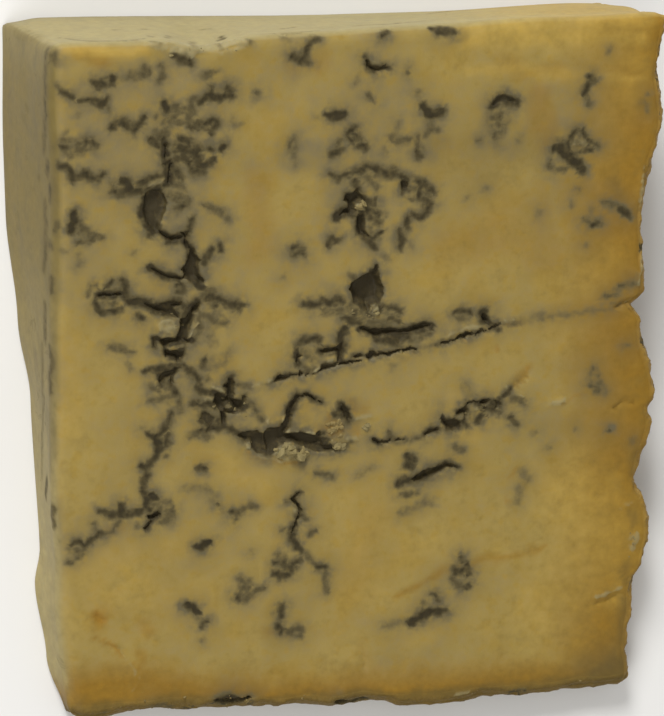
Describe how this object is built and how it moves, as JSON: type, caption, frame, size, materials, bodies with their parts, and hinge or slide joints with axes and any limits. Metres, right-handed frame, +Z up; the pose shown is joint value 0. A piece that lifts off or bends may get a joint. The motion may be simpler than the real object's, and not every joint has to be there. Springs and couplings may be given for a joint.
{
  "type": "blue cheese wedge",
  "caption": "Wedge of blue-veined cheese lying on a cut face, with cracks and veins in its upper cut face and a rough broken side.",
  "frame": {"origin": "middle of the wedge's box in X and Y, on the surface the wedge lies on", "axes": "+Z up, +Y from the thin tip to the rind, +X across, from the smooth flat side to the broken one"},
  "size_m": [0.1074, 0.1176, 0.0301],
  "materials": {
    "cheese": "moist ivory-yellow paste with grey-blue veins, amber near the broken side and the tip"
  },
  "bodies": {
    "root": {"cheese_wedge": "cheese"}
  },
  "joints": []
}
